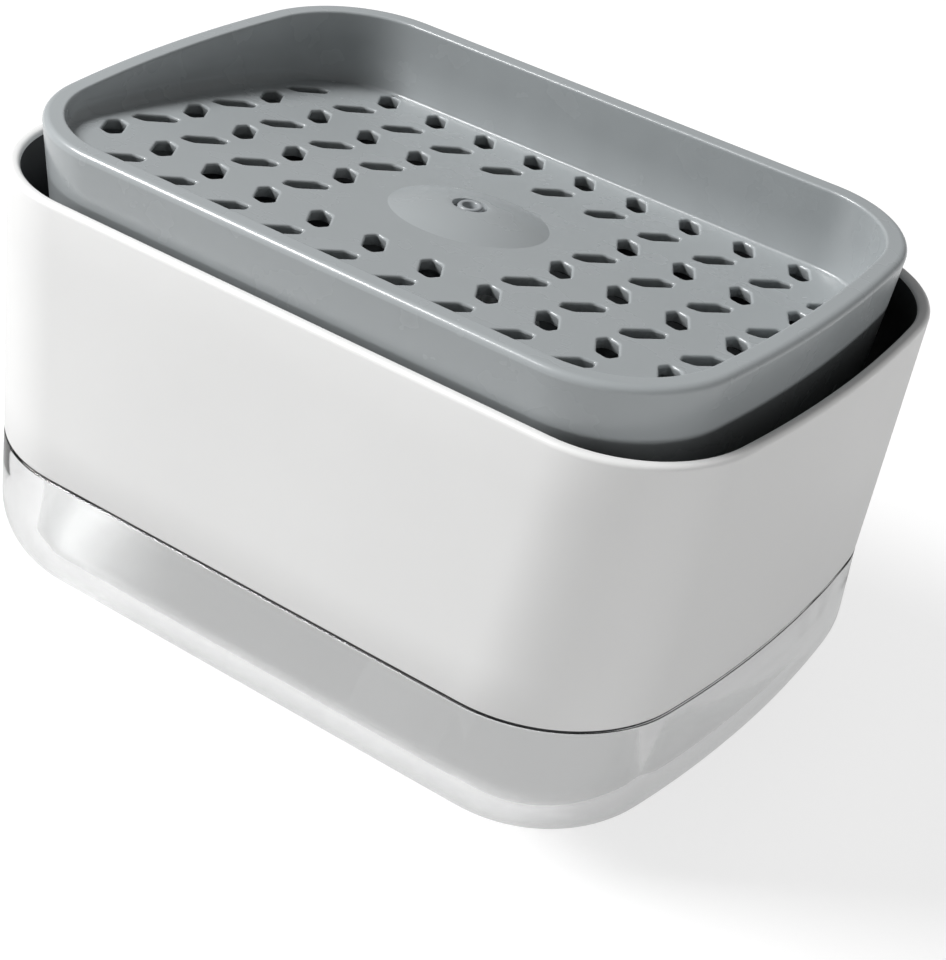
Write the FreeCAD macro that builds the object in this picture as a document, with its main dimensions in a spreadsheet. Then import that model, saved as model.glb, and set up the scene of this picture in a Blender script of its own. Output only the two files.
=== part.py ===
import FreeCAD, Part
import math
import os
import re
import Sketcher
from FreeCAD import Placement, Rotation, Vector

# A sponge tray on a pump over a clear soap tank. +Z is up, -Y is the front, the origin is under the middle.

# Driving sizes in millimetres and degrees
SIZES = (
    ("housing_length", 151.0, "sleeve at its rim, end to end"),
    ("housing_width", 100.0, "sleeve at its rim, front to back"),
    ("housing_corner", 24.0, "corner radius of the rim"),
    ("housing_bow", 240.0, "radius of the bowed ends of the rim"),
    ("housing_top", 77.5, "height of the sleeve's rim"),
    ("housing_wall", 2.2, "wall of the sleeve"),
    ("housing_round", 0.8, "round on the sleeve's rim"),
    ("end_lean", 3.25, "how far the sleeve's ends lean out from its foot to its rim"),
    ("side_lean", 3.5, "how far its long sides lean in from its foot to its rim"),
    ("foot_corner", 26.0, "corner radius where sleeve and tank meet"),
    ("seam_height", 27.5, "height of the sleeve's lower edge"),
    ("seam_thickness", 0.5, "thickness of the black ring in the seam"),
    ("seam_inset", 0.3, "how far the ring stands back from the face"),
    ("spigot_clearance", 0.4, "gap between sleeve and tank neck"),
    ("lid_clearance", 0.2, "gap between sleeve and lid"),
    ("ring_clearance", 0.1, "gap between a ring and what it sits round"),
    ("tank_top", 45.0, "height of the tank's mouth"),
    ("tank_floor", 3.0, "thickness of the tank's floor"),
    ("tank_round", 14.0, "round of the tank's bottom edge"),
    ("side_wall", 6.0, "thickness of the tank's side"),
    ("cavity_round", 10.0, "round inside the tank's bottom edge"),
    ("lid_seal", 1.0, "thickness of the lid's seal"),
    ("seal_inset", 0.3, "how far the seal stands back from the edges"),
    ("lid_plate", 2.5, "thickness of the lid"),
    ("lip_height", 2.0, "height of the lip round the lid"),
    ("lip_wall", 1.8, "wall of the lip"),
    ("plug_depth", 4.0, "depth of the lid's locating ring"),
    ("plug_wall", 1.8, "wall of the locating ring"),
    ("plug_clearance", 0.4, "gap between locating ring and tank"),
    ("neck_rise", 5.5, "height of the pump's neck above the lid"),
    ("neck_wall", 2.8, "wall of the neck"),
    ("neck_seal", 1.0, "thickness of the neck's seal"),
    ("barrel_bore", 15.0, "bore of the pump's barrel"),
    ("barrel_wall", 1.5, "wall of the barrel"),
    ("barrel_clearance", 0.2, "gap between barrel and neck"),
    ("barrel_depth", 35.0, "flange to the ledge in the barrel"),
    ("flange_width", 2.5, "how far the flanges stand out from the barrel"),
    ("flange_thickness", 1.6, "thickness of the barrel's flange"),
    ("valve_bore", 8.4, "bore of the inlet valve's chamber"),
    ("valve_depth", 7.0, "depth of the chamber"),
    ("valve_wall", 2.0, "wall of the chamber"),
    ("valve_hole", 4.4, "hole under the inlet ball"),
    ("valve_web", 1.0, "web under the inlet ball"),
    ("step_height", 2.0, "height of the steps outside the barrel"),
    ("inlet_ball_size", 6.0, "inlet ball"),
    ("ball_gap", 0.15, "gap between a ball and its seat"),
    ("tube_size", 6.4, "dip tube, outside"),
    ("tube_bore", 4.4, "dip tube, inside"),
    ("tube_clearance", 0.05, "gap round the dip tube in its socket"),
    ("tube_rise", 1.5, "dip tube above the tank's floor"),
    ("tube_end_gap", 0.1, "gap at the top of the dip tube"),
    ("socket_wall", 1.55, "wall of the dip tube's socket"),
    ("socket_depth", 4.5, "depth of the dip tube's socket"),
    ("guide_flange", 1.4, "thickness of the stem guide's flange"),
    ("guide_depth", 6.4, "depth of the stem guide in the barrel"),
    ("slide_clearance", 0.05, "running gap of sliding fits"),
    ("collar_wall", 2.85, "wall of the collar"),
    ("collar_clearance", 0.15, "gap between collar and neck"),
    ("collar_web", 1.6, "top web of the collar"),
    ("collar_hole", 16.0, "hole in the top of the collar"),
    ("collar_foot_gap", 0.8, "collar above the lid"),
    ("collar_ribs", 16.0, "grip flutes round the collar"),
    ("collar_flute", 1.6, "width of a grip flute"),
    ("cage_thickness", 1.5, "thickness of the ball cage"),
    ("cage_hole", 4.6, "hole in the ball cage"),
    ("stem_size", 8.0, "plunger stem, outside"),
    ("stem_bore", 4.0, "plunger stem, inside"),
    ("stop_gap", 0.2, "gap between piston and stem guide at rest"),
    ("piston_gap", 0.3, "gap between piston and bore"),
    ("piston_length", 10.0, "length of the piston"),
    ("piston_web", 2.0, "web under the stem"),
    ("press_clearance", 0.02, "gap of pushed-in fits"),
    ("seal_start", 3.0, "piston seal above the piston's foot"),
    ("seal_height", 3.0, "height of the seal's groove"),
    ("seal_groove", 1.2, "depth of the seal's groove"),
    ("seal_end_gap", 0.05, "gap above and below the seal"),
    ("seal_gap", 0.03, "gap between seal and bore"),
    ("wire_size", 1.0, "spring wire"),
    ("coil_size", 10.6, "spring, middle of the wire"),
    ("coil_half_turns", 11.0, "half turns of the spring"),
    ("coil_end_gap", 0.1, "gap above and below the spring"),
    ("stroke", 8.0, "travel of the plunger"),
    ("stroke_spare", 0.9, "gap left at the end of the travel"),
    ("head_size", 14.0, "plunger head"),
    ("head_height", 8.7, "height of the plunger head"),
    ("head_clearance", 0.05, "gap between head and its socket in the tray"),
    ("head_top_gap", 0.2, "gap above the head"),
    ("stem_insert", 2.5, "stem inside the head"),
    ("seat_thickness", 0.8, "thickness of the outlet valve's seat"),
    ("seat_hole", 2.4, "hole in the seat"),
    ("outlet_bore", 5.2, "bore of the outlet valve's chamber"),
    ("outlet_depth", 4.2, "depth of that chamber"),
    ("outlet_hole", 3.0, "hole in the top of the head"),
    ("outlet_ball_size", 3.5, "outlet ball"),
    ("tray_end_gap", 6.3, "tray's rim inside the sleeve's rim at each end"),
    ("tray_side_gap", 2.5, "tray's rim inside the sleeve's rim at the front and back"),
    ("tray_corner", 22.5, "corner radius of the tray's rim"),
    ("tray_depth", 23.0, "rim of the tray to the foot of its skirt"),
    ("skirt_taper", 2.6, "how far the skirt draws in at its foot"),
    ("tray_wall", 2.2, "wall of the skirt and thickness of the floor"),
    ("rim_width", 3.8, "width of the rim's flat top"),
    ("rim_round", 1.2, "round on the outer edge of the rim"),
    ("rim_inner_round", 0.5, "round on the inner edge of the rim"),
    ("well_taper", 1.4, "how far the well draws in at the skirt's foot"),
    ("well_depth", 8.65, "rim to the middle of the floor"),
    ("floor_slope", 8.2, "slope of the floor, down to the back"),
    ("socket_roof", 1.45, "top of the head's socket to the middle of the floor"),
    ("boss_wall", 1.95, "wall of the head's socket"),
    ("dome_size", 28.4, "dome, across its foot"),
    ("dome_height", 2.2, "dome, above the floor"),
    ("dome_root", 1.0, "how deep the dome reaches into the floor"),
    ("nozzle_size", 6.2, "hole in the dome"),
    ("nozzle_clearance", 0.02, "gap round the nozzle"),
    ("nozzle_foot", 0.1, "nozzle above the top of the socket"),
    ("nozzle_flange", 2.5, "height of the nozzle's flange"),
    ("nozzle_height", 3.5, "height of the nozzle"),
    ("nozzle_tube", 4.4, "nozzle's tube, outside"),
    ("nozzle_bore", 2.6, "nozzle's tube, inside"),
    ("slot_web", 3.31, "floor left between one row of slots and the next"),
    ("slot_width", 3.5, "drain slot, side to side"),
    ("slot_point", 1.7, "length of a slot's pointed end"),
    ("slot_angle", 60.0, "slant of the slots from the long side"),
    ("slot_edge", 0.4, "softened edge round a slot"),
    ("column_margin", 8.35, "end of the well to the middle of the first slot in a row"),
    ("row_margin", 4.85, "front or back of the well to the middle of the nearest row"),
)

FINE = 1e-4
HALF_TURN = math.pi
QUARTER_TURN = math.pi / 2
ROUND_TURNS = (0, QUARTER_TURN / 3, QUARTER_TURN * 2 / 3, QUARTER_TURN)
FULL_CIRCLE = 360
WIRE_SIDES = 8
WIRE_TURNS = [FULL_CIRCLE * side / WIRE_SIDES for side in range(WIRE_SIDES)]
POINTS_AN_ARC = 12
ARCS_A_TURN = 4
WORDS_LEFT_ALONE = {"sin", "cos", "tan", "sqrt"}

# Columns of slots in each row, front row first: the corners and the dome have none
SLOT_COLUMNS = 11
ALL_COLUMNS = range(SLOT_COLUMNS)
CORNER_COLUMNS = (0, SLOT_COLUMNS - 1)
DOME_COLUMNS = (4, 5, 6)
END_ROW = [column for column in ALL_COLUMNS if column not in CORNER_COLUMNS]
DOME_ROW = [column for column in ALL_COLUMNS if column not in DOME_COLUMNS]
SLOT_ROWS = (END_ROW, ALL_COLUMNS, DOME_ROW, DOME_ROW, DOME_ROW, DOME_ROW, ALL_COLUMNS, END_ROW)

doc = FreeCAD.newDocument("caddy")
sheet = doc.addObject("Spreadsheet::Sheet", "Sizes")
for row, (alias, number, meaning) in enumerate(SIZES, 1):
    sheet.set(f"A{row}", meaning)
    sheet.set(f"B{row}", str(number))
    sheet.setAlias(f"B{row}", alias)
doc.recompute()


def sized(words):
    """A sum of size names as the sheet's own expression."""
    return re.sub(r"[a-z_]{3,}", lambda m: m[0] if m[0] in WORDS_LEFT_ALONE else "Sizes." + m[0], words)


def value(words):
    """The number a sum of size names comes to."""
    return float(sheet.evalExpression(sized(words)))


def bind(thing, **places):
    """Ties properties to sums of size names; two underscores stand for a point."""
    for place, words in places.items():
        thing.setExpression(place.replace("__", "."), sized(words))
    return thing


# Heights, each built on the one below
SHOULDER = "(seam_height - seam_thickness)"
LID_UNDER = "(tank_top + lid_seal)"
LID_FACE = f"({LID_UNDER} + lid_plate)"
NECK_TOP = f"({LID_FACE} + neck_rise)"
FLANGE_UNDER = f"({NECK_TOP} + neck_seal)"
FLANGE_TOP = f"({FLANGE_UNDER} + flange_thickness)"
GUIDE_TOP = f"({FLANGE_TOP} + guide_flange)"
GUIDE_FOOT = f"({FLANGE_TOP} - guide_depth)"
COLLAR_TOP = f"({GUIDE_TOP} + collar_web)"
BARREL_LEDGE = f"({FLANGE_UNDER} - barrel_depth)"
VALVE_FOOT = f"({BARREL_LEDGE} - valve_depth)"
SOCKET_TOP = f"({VALVE_FOOT} - valve_web)"
SOCKET_FOOT = f"({SOCKET_TOP} - socket_depth)"
CAGE_TOP = f"({BARREL_LEDGE} + cage_thickness)"
PISTON_TOP = f"({GUIDE_FOOT} - stop_gap)"
PISTON_FOOT = f"({PISTON_TOP} - piston_length)"
STEM_FOOT = f"({PISTON_FOOT} + piston_web)"
SEAL_FOOT = f"({PISTON_FOOT} + seal_start)"
HEAD_FOOT = f"({COLLAR_TOP} + stroke + stroke_spare)"
HEAD_TOP = f"({HEAD_FOOT} + head_height)"
STEM_TOP = f"({HEAD_FOOT} + stem_insert)"
SEAT_TOP = f"({STEM_TOP} + seat_thickness)"
OUTLET_TOP = f"({SEAT_TOP} + outlet_depth)"
SOCKET_ROOF = f"({HEAD_TOP} + head_top_gap)"
FLOOR_MIDDLE = f"({SOCKET_ROOF} + socket_roof)"
TRAY_TOP = f"({FLOOR_MIDDLE} + well_depth)"
SKIRT_FOOT = f"({TRAY_TOP} - tray_depth)"
NOZZLE_FOOT = f"({SOCKET_ROOF} + nozzle_foot)"

# Radii of the pump
BARREL_IN = "(barrel_bore / 2)"
BARREL_OUT = f"({BARREL_IN} + barrel_wall)"
FLANGE_OUT = f"({BARREL_OUT} + flange_width)"
NECK_IN = f"({BARREL_OUT} + barrel_clearance)"
NECK_OUT = f"({NECK_IN} + neck_wall)"
COLLAR_IN = f"({NECK_OUT} + collar_clearance)"
COLLAR_OUT = f"({COLLAR_IN} + collar_wall)"
VALVE_IN = "(valve_bore / 2)"
VALVE_OUT = f"({VALVE_IN} + valve_wall)"
HOLE_IN = "(valve_hole / 2)"
SOCKET_IN = "(tube_size / 2 + tube_clearance)"
SOCKET_OUT = f"({SOCKET_IN} + socket_wall)"
BORE_FIT = f"({BARREL_IN} - slide_clearance)"
STEM_OUT = "(stem_size / 2)"
STEM_IN = "(stem_bore / 2)"
STEM_FIT = f"({STEM_OUT} + press_clearance)"
PISTON_OUT = f"({BARREL_IN} - piston_gap)"
GROOVE_IN = f"({PISTON_OUT} - seal_groove)"
HEAD_OUT = "(head_size / 2)"
HEAD_SOCKET = f"({HEAD_OUT} + head_clearance)"

# Plan outlines: length, width, corner radius, radius of the bowed ends
HOUSING_RIM = ("housing_length", "housing_width", "housing_corner", "housing_bow")
FOOT_LENGTH = "(housing_length - 2 * end_lean)"
FOOT_WIDTH = "(housing_width + 2 * side_lean)"
FOOT = (FOOT_LENGTH, FOOT_WIDTH, "foot_corner", "(housing_bow - end_lean)")
TRAY_LENGTH = "(housing_length - 2 * tray_end_gap)"
TRAY_WIDTH = "(housing_width - 2 * tray_side_gap)"
TRAY_RIM = (TRAY_LENGTH, TRAY_WIDTH, "tray_corner", "(housing_bow - tray_end_gap)")

# Grid of slots, spread over the well
SLOT_PITCH = f"(({TRAY_LENGTH} - 2 * rim_width - 2 * column_margin) / {SLOT_COLUMNS - 1})"
ROW_PITCH = f"(({TRAY_WIDTH} - 2 * rim_width - 2 * row_margin) / {len(SLOT_ROWS) - 1})"
SLOT_LENGTH = f"(({ROW_PITCH} - slot_web) / sin(slot_angle))"

# Blocks that bound the sloped floor reach past the tray on all sides
FLOOR_SPAN = "(2 * housing_length)"
FLOOR_BLOCK = "(2 * tray_depth)"


def inset(outline, step):
    """The same outline drawn in by a step all round."""
    length, width, corner, bow = outline
    return (f"{length} - 2 * ({step})", f"{width} - 2 * ({step})", f"{corner} - ({step})", f"{bow} - ({step})")


def sleeve_lean(height):
    """How far the sleeve's long sides lean in from its foot up to a height."""
    return f"side_lean * ({height} - seam_height) / (housing_top - seam_height)"


SPIGOT_INSET = f"(housing_wall + spigot_clearance + {sleeve_lean('tank_top')})"
LID_INSET = f"(housing_wall + lid_clearance + {sleeve_lean(f'({LID_FACE} + lip_height)')})"
SPIGOT = inset(FOOT, SPIGOT_INSET)
LID = inset(FOOT, LID_INSET)
CAVITY = inset(FOOT, "side_wall")


def new_body(label):
    """An empty body."""
    body = doc.addObject("PartDesign::Body", label)
    body.Label = label
    return body


def new_sketch(body, name, role, height="0"):
    """A sketch on one of the body's own planes, lifted by a height."""
    sketch = body.newObject("Sketcher::SketchObject", name)
    sketch.AttachmentSupport = (next(f for f in body.Origin.OriginFeatures if f.Role == role), [""])
    sketch.MapMode = "FlatFace"
    return bind(sketch, AttachmentOffset__Base__z=height)


def size_constraint(sketch, words, kind, *where):
    """A dimension of a sketch, tied to the sheet."""
    index = sketch.addConstraint(Sketcher.Constraint(kind, *where, value(words)))
    sketch.setExpression(f"Constraints[{index}]", sized(words))


def draw_outline(body, name, height, outline):
    """A rounded oblong with bowed ends, level at a height."""
    sketch = new_sketch(body, name, "XY_Plane", height)
    length, width, corner, bow = (value(words) for words in outline)
    half = width / 2
    back_set = bow - length / 2
    lean = math.asin((half - corner) / (bow - corner))
    reach = (bow - corner) * math.cos(lean) - back_set
    up = Vector(0, 0, 1)

    def arc(x, y, radius, start, end):
        return Part.ArcOfCircle(Part.Circle(Vector(x, y, 0), up, radius), start, end)

    sketch.addGeometry([
        Part.LineSegment(Vector(-reach, -half, 0), Vector(reach, -half, 0)),
        arc(reach, corner - half, corner, -QUARTER_TURN, -lean),
        arc(-back_set, 0, bow, -lean, lean),
        arc(reach, half - corner, corner, lean, QUARTER_TURN),
        Part.LineSegment(Vector(reach, half, 0), Vector(-reach, half, 0)),
        arc(-reach, half - corner, corner, QUARTER_TURN, HALF_TURN - lean),
        arc(back_set, 0, bow, HALF_TURN - lean, HALF_TURN + lean),
        arc(-reach, corner - half, corner, HALF_TURN + lean, HALF_TURN + QUARTER_TURN),
    ])
    edges = sketch.GeometryCount
    rule = Sketcher.Constraint
    sketch.addConstraint([rule("Tangent", i, 2, (i + 1) % edges, 1) for i in range(edges)])
    sketch.addConstraint([rule("PointOnObject", end, 3, -1) for end in (2, 6)])
    sketch.addConstraint(rule("Symmetric", 0, 1, 0, 2, -2))
    sketch.addConstraint([rule("Equal", 1, other) for other in (3, 5, 7)])
    sketch.addConstraint(rule("Equal", 2, 6))
    sketch.addConstraint(rule("Horizontal", 4))
    size_constraint(sketch, outline[2], "Radius", 1)
    size_constraint(sketch, outline[3], "Radius", 2)
    size_constraint(sketch, f"({outline[1]}) / 2", "DistanceY", 0, 2, -1, 1)
    size_constraint(sketch, f"({outline[1]}) / 2", "DistanceY", -1, 1, 4, 1)
    size_constraint(sketch, f"({outline[3]}) - ({outline[0]}) / 2", "DistanceX", 2, 3, -1, 1)
    return sketch


def loft(body, name, kind, sections):
    """A straight-sided loft through outlines, each given as a height and an outline."""
    sketches = [draw_outline(body, f"{name}_{i}", *section) for i, section in enumerate(sections)]
    feature = body.newObject(kind, name)
    feature.Profile = (sketches[0], [""])
    feature.Sections = [(sketch, [""]) for sketch in sketches[1:]]
    feature.Ruled = True
    doc.recompute()
    return feature


def rounded_rim(top, outline, radius, outward=False):
    """Sections that round a rim over, drawing in, or outward at the edge of a hollow."""
    sign = "-" if outward else ""
    sections = []
    for turn in ROUND_TURNS:
        height = f"{top} - {radius} * {1 - math.sin(turn)}"
        step = f"{sign}{radius} * {1 - math.cos(turn)}"
        sections.append((height, inset(outline, step)))
    return sections


def pad(body, name, height, outline, rise):
    """An outline raised from a height."""
    feature = body.newObject("PartDesign::Pad", name)
    feature.Profile = (draw_outline(body, name + "_outline", height, outline), [""])
    bind(feature, Length=rise)
    doc.recompute()
    return feature


def pocket(body, name, height, outline, depth):
    """An outline cut down from a height."""
    feature = body.newObject("PartDesign::Pocket", name)
    feature.Profile = (draw_outline(body, name + "_outline", height, outline), [""])
    bind(feature, Length=depth)
    doc.recompute()
    return feature


def turned_feature(body, name, kind, points):
    """A full turn of a profile, given as pairs of radius and height, about the upright axis."""
    sketch = new_sketch(body, name + "_profile", "XZ_Plane")
    corners = [Vector(value(radius), value(height), 0) for radius, height in points]
    count = len(points)
    sketch.addGeometry([Part.LineSegment(corners[i], corners[(i + 1) % count]) for i in range(count)])
    rule = Sketcher.Constraint
    sketch.addConstraint([rule("Coincident", i, 2, (i + 1) % count, 1) for i in range(count)])
    for i, (radius, height) in enumerate(points):
        size_constraint(sketch, radius, "DistanceX", -1, 1, i, 1)
        size_constraint(sketch, height, "DistanceY", -1, 1, i, 1)
    feature = body.newObject(kind, name)
    feature.Profile = (sketch, [""])
    feature.ReferenceAxis = (sketch, ["V_Axis"])
    doc.recompute()
    return feature


def turned(label, points):
    """A body that is one turned profile."""
    body = new_body(label)
    turned_feature(body, label + "_turn", "PartDesign::Revolution", points)
    return body


def ring(label, outer, inner, foot, height):
    """A flat ring between two outlines."""
    body = new_body(label)
    pad(body, label + "_pad", foot, outer, height)
    pocket(body, label + "_hole", f"{foot} + {height}", inner, height)
    return body


def washer(label, outer, inner, foot, top):
    """A turned ring between two radii and two heights."""
    return turned(label, [(inner, foot), (outer, foot), (outer, top), (inner, top)])


def loop_edges(shape, height, outer):
    """Names of the edges round the largest level face at a height: its outer loop, or its inner ones."""
    level = [f for f in shape.Faces if max(abs(f.BoundBox.ZMin - height), abs(f.BoundBox.ZMax - height)) < FINE]
    face = max(level, key=lambda f: f.Area)
    wanted = [e for w in face.Wires if w.isSame(face.OuterWire) == outer for e in w.Edges]
    return [f"Edge{i}" for i, e in enumerate(shape.Edges, 1) if any(e.isSame(w) for w in wanted)]


def fillet(body, name, edges, radius):
    """A round on the named edges of the body as it stands."""
    feature = body.newObject("PartDesign::Fillet", name)
    feature.Base = (feature.BaseFeature or body.Tip, edges)
    bind(feature, Radius=radius)
    doc.recompute()
    return feature


def boolean(kind, name, base, tool):
    """A cut or a common of two solids."""
    feature = doc.addObject(kind, name)
    feature.Base = base
    feature.Tool = tool
    doc.recompute()
    return feature


def joined(name, *solids):
    """Solids joined into one."""
    feature = doc.addObject("Part::MultiFuse", name)
    feature.Shapes = list(solids)
    doc.recompute()
    return feature


def upright_cylinder(name, radius, foot, top):
    """A cylinder on the upright axis between two heights."""
    feature = doc.addObject("Part::Cylinder", name)
    bind(feature, Radius=radius, Height=f"{top} - {foot}", Placement__Base__z=foot)
    doc.recompute()
    return feature


def build_housing():
    """White sleeve, open above and below."""
    body = new_body("housing")
    outer_rim = rounded_rim("housing_top", HOUSING_RIM, "housing_round")
    inner_rim = rounded_rim("housing_top", inset(HOUSING_RIM, "housing_wall"), "housing_round", True)
    inner_foot = ("seam_height", inset(FOOT, "housing_wall"))
    loft(body, "housing_outer", "PartDesign::AdditiveLoft", [("seam_height", FOOT), *outer_rim])
    loft(body, "housing_inner", "PartDesign::SubtractiveLoft", [inner_foot, *inner_rim])
    return body


def build_tank():
    """Clear tank: a visible lower part and a neck that stands inside the sleeve."""
    body = new_body("tank")
    pad(body, "tank_lower", "0", FOOT, SHOULDER)
    fillet(body, "tank_bottom_round", loop_edges(body.Shape, 0, True), "tank_round")
    pad(body, "tank_neck", SHOULDER, SPIGOT, f"tank_top - {SHOULDER}")
    pocket(body, "tank_cavity", "tank_top", CAVITY, "tank_top - tank_floor")
    fillet(body, "tank_inner_round", loop_edges(body.Shape, value("tank_floor"), True), "cavity_round")
    return body


def build_lid():
    """Cover of the tank, with a lip, a locating ring and the pump's neck."""
    body = new_body("tank_lid")
    plug = inset(FOOT, "side_wall + plug_clearance")
    plug_inner = inset(FOOT, "side_wall + plug_clearance + plug_wall")
    lip_inner = inset(LID, "lip_wall")
    plug_foot = f"{LID_UNDER} - plug_depth"
    pad(body, "lid_block", LID_UNDER, LID, "lid_plate + lip_height")
    pocket(body, "lid_basin", f"{LID_FACE} + lip_height", lip_inner, "lip_height")
    pad(body, "lid_plug", plug_foot, plug, "plug_depth")
    hollow = body.newObject("PartDesign::Pocket", "lid_plug_hollow")
    hollow.Profile = (draw_outline(body, "lid_plug_hollow_outline", plug_foot, plug_inner), [""])
    hollow.Reversed = True
    bind(hollow, Length="plug_depth")
    doc.recompute()
    neck = [(NECK_IN, LID_UNDER), (NECK_OUT, LID_UNDER), (NECK_OUT, NECK_TOP), (NECK_IN, NECK_TOP)]
    turned_feature(body, "lid_neck", "PartDesign::Revolution", neck)
    sketch = new_sketch(body, "lid_bore_outline", "XY_Plane", NECK_TOP)
    sketch.addGeometry(Part.Circle(Vector(), Vector(0, 0, 1), value(NECK_IN)))
    sketch.addConstraint(Sketcher.Constraint("Coincident", 0, 3, -1, 1))
    size_constraint(sketch, NECK_IN, "Radius", 0)
    bore = body.newObject("PartDesign::Pocket", "lid_bore")
    bore.Profile = (sketch, [""])
    bind(bore, Length=f"{NECK_TOP} - {LID_UNDER}")
    doc.recompute()
    return body


def build_cylinder():
    """Pump barrel with its flange, inlet valve chamber and the dip tube's socket."""
    return turned("pump_cylinder", [
        (SOCKET_IN, SOCKET_FOOT), (SOCKET_OUT, SOCKET_FOOT), (SOCKET_OUT, f"{SOCKET_TOP} - valve_web"),
        (VALVE_OUT, f"{SOCKET_TOP} - valve_web"), (VALVE_OUT, f"{BARREL_LEDGE} - step_height"),
        (BARREL_OUT, f"{BARREL_LEDGE} - step_height"), (BARREL_OUT, FLANGE_UNDER), (FLANGE_OUT, FLANGE_UNDER),
        (FLANGE_OUT, FLANGE_TOP), (BARREL_IN, FLANGE_TOP), (BARREL_IN, BARREL_LEDGE), (VALVE_IN, BARREL_LEDGE),
        (VALVE_IN, f"{VALVE_FOOT} + {VALVE_IN} - {HOLE_IN}"), (HOLE_IN, VALVE_FOOT), (HOLE_IN, SOCKET_TOP),
        (SOCKET_IN, SOCKET_TOP),
    ])


def build_guide():
    """Bush that guides the stem and stops the piston."""
    inner = f"({STEM_OUT} + slide_clearance)"
    return turned("stem_guide", [
        (inner, GUIDE_FOOT), (BORE_FIT, GUIDE_FOOT), (BORE_FIT, FLANGE_TOP), (FLANGE_OUT, FLANGE_TOP),
        (FLANGE_OUT, GUIDE_TOP), (inner, GUIDE_TOP),
    ])


def build_collar():
    """Collar that holds the pump on the neck, with grip flutes."""
    foot = f"({LID_FACE} + collar_foot_gap)"
    body = turned("pump_collar", [
        (COLLAR_IN, foot), (COLLAR_OUT, foot), (COLLAR_OUT, COLLAR_TOP), ("collar_hole / 2", COLLAR_TOP),
        ("collar_hole / 2", GUIDE_TOP), (COLLAR_IN, GUIDE_TOP),
    ])
    sketch = new_sketch(body, "flute_outline", "XY_Plane", foot)
    sketch.addGeometry(Part.Circle(Vector(value(COLLAR_OUT), 0, 0), Vector(0, 0, 1), value("collar_flute / 2")))
    sketch.addConstraint(Sketcher.Constraint("PointOnObject", 0, 3, -1))
    size_constraint(sketch, "collar_flute / 2", "Radius", 0)
    size_constraint(sketch, COLLAR_OUT, "DistanceX", -1, 1, 0, 3)
    flute = body.newObject("PartDesign::Pocket", "flute")
    flute.Profile = (sketch, [""])
    flute.Reversed = True
    bind(flute, Length=f"{COLLAR_TOP} - {foot} - collar_web")
    pattern = body.newObject("PartDesign::PolarPattern", "flutes")
    pattern.Originals = [flute]
    pattern.Axis = (sketch, ["N_Axis"])
    bind(pattern, Occurrences="collar_ribs")
    body.Tip = pattern
    doc.recompute()
    return body


def build_piston():
    """Piston with a groove for its seal and a web under the stem."""
    groove_top = f"{SEAL_FOOT} + seal_height"
    return turned("piston", [
        (STEM_IN, PISTON_FOOT), (PISTON_OUT, PISTON_FOOT), (PISTON_OUT, SEAL_FOOT), (GROOVE_IN, SEAL_FOOT),
        (GROOVE_IN, groove_top), (PISTON_OUT, groove_top), (PISTON_OUT, PISTON_TOP), (STEM_FIT, PISTON_TOP),
        (STEM_FIT, STEM_FOOT), (STEM_IN, STEM_FOOT),
    ])


def build_head():
    """Head of the plunger, with the outlet valve's chamber."""
    return turned("plunger_head", [
        (STEM_FIT, HEAD_FOOT), (HEAD_OUT, HEAD_FOOT), (HEAD_OUT, HEAD_TOP), ("outlet_hole / 2", HEAD_TOP),
        ("outlet_hole / 2", OUTLET_TOP), ("outlet_bore / 2", OUTLET_TOP), ("outlet_bore / 2", SEAT_TOP),
        (STEM_FIT, SEAT_TOP),
    ])


def build_ball(label, size, height):
    """A valve ball on the upright axis."""
    ball = doc.addObject("Part::Sphere", label)
    ball.Label = label
    bind(ball, Radius=f"{size} / 2", Placement__Base__z=height)
    doc.recompute()
    return ball


def biarc(start, start_way, end, end_way):
    """Two arcs that join two points along given directions."""
    across = end - start
    slope = across.dot(start_way + end_way)
    turn = 2 * (1 - start_way.dot(end_way))
    leg = (math.sqrt(slope * slope + turn * across.dot(across)) - slope) / turn
    middle = (start + end + (start_way - end_way) * leg) / 2
    arcs = []
    for near, far, knee in ((start, middle, start + start_way * leg), (middle, end, end - end_way * leg)):
        chord_middle = (near + far) / 2
        half_chord = (far - near).Length / 2
        outward = (knee - chord_middle).normalize()
        rise = half_chord * math.tan(math.acos(half_chord / leg) / 2)
        arcs.append(Part.Arc(near, chord_middle + outward * rise, far).toShape())
    return arcs


def build_spring():
    """Return spring: one unbroken wire, swept along half-turn biarcs."""
    radius = value("coil_size / 2")
    wire = value("wire_size")
    foot = value(f"{CAGE_TOP} + coil_end_gap") + wire / 2
    top = value(f"{PISTON_FOOT} - coil_end_gap") - wire / 2
    half_turns = round(value("coil_half_turns"))
    rise = (top - foot) / half_turns

    def point(step):
        turn = step * HALF_TURN
        return Vector(radius * math.cos(turn), radius * math.sin(turn), foot + rise * step)

    def way(step):
        turn = step * HALF_TURN
        run = radius * HALF_TURN
        return Vector(-run * math.sin(turn), run * math.cos(turn), rise).normalize()

    arcs = [a for i in range(half_turns) for a in biarc(point(i), way(i), point(i + 1), way(i + 1))]
    sides = [Rotation(way(0), turn).multVec(Vector(wire / 2, 0, 0)) for turn in WIRE_TURNS]
    section = Part.makePolygon([point(0) + side for side in sides + sides[:1]])
    spring = doc.addObject("Part::Feature", "return_spring")
    spring.Label = "return_spring"
    spring.Shape = Part.Wire(arcs).makePipeShell([section], True, False)
    trail = [p for arc in arcs for p in arc.discretize(POINTS_AN_ARC)]
    half_turn_on = POINTS_AN_ARC * ARCS_A_TURN // 2
    nearest = min((p - q).Length for i, p in enumerate(trail) for q in trail[i + half_turn_on:])
    print(f"least gap of the spring to itself {nearest - wire:.2f} mm")
    return spring


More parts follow.
